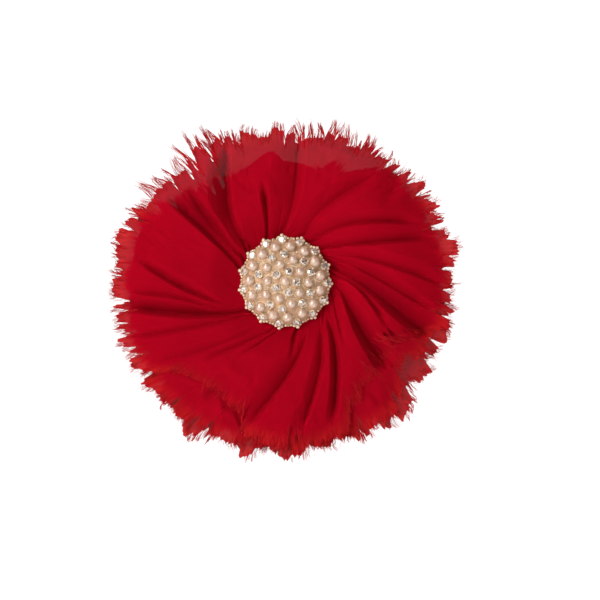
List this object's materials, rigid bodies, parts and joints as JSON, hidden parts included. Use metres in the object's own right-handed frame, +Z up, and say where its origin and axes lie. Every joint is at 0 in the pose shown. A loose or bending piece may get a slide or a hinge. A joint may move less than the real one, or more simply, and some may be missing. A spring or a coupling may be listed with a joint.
{
  "type": "flower hair clip",
  "caption": "Frayed chiffon flower with a pearl and crystal button, on felt, with a sprung alligator clip that grips a lock of hair.",
  "frame": {"origin": "middle of the clip's jaw gap at the flower's axis, where the hair is held", "axes": "-Y out of the flower's face, +Z up, +X towards the clip's tail; the clip's nose points to -X"},
  "size_m": [0.1, 0.0266, 0.1],
  "materials": {
    "chiffon": "sheer crepe weave, frayed raw edges",
    "thread": "twisted sewing thread",
    "gold_casting": "champagne gold plate, finely grained",
    "gold_claws": "bright champagne gold plate",
    "pearl": "pearl lustre",
    "crystal": "faceted, clear, bright cut",
    "felt": "pressed felt",
    "glue": "set hot glue, cloudy",
    "clip_steel": "nickel plate",
    "spring_steel": "drawn wire"
  },
  "bodies": {
    "flower": {"petal_layer_front": "chiffon", "petal_layer_middle": "chiffon", "petal_layer_back": "chiffon", "gathering_thread_front": "thread", "gathering_thread_middle": "thread", "gathering_thread_back": "thread", "button_base": "gold_casting", "button_glue": "glue", "pearl_centre": "pearl", "pearls_inner": "pearl", "pearls_second": "pearl", "pearls_outer": "pearl", "crystals_inner": "crystal", "crystals_middle": "crystal", "crystals_outer": "crystal", "claw_settings_inner": "gold_claws", "claw_settings_middle": "gold_claws", "claw_settings_outer": "gold_claws", "felt_backing": "felt", "felt_clip_band": "felt", "clip_glue": "glue", "clip_upper_arm": "clip_steel", "hinge_pin": "clip_steel", "torsion_spring": "spring_steel"},
    "moving_jaw": {"clip_lower_arm": "clip_steel"}
  },
  "joints": [
    {"name": "jaw_hinge", "type": "hinge", "parent": "flower", "child": "moving_jaw", "pos_m": [0.009, 0, 0], "axis": [0, 0, -1], "range_deg": [0, 28], "stiffness_Nm_per_rad": 0.05, "springref_deg": -51.57, "deforming": ["torsion_spring"]}
  ]
}
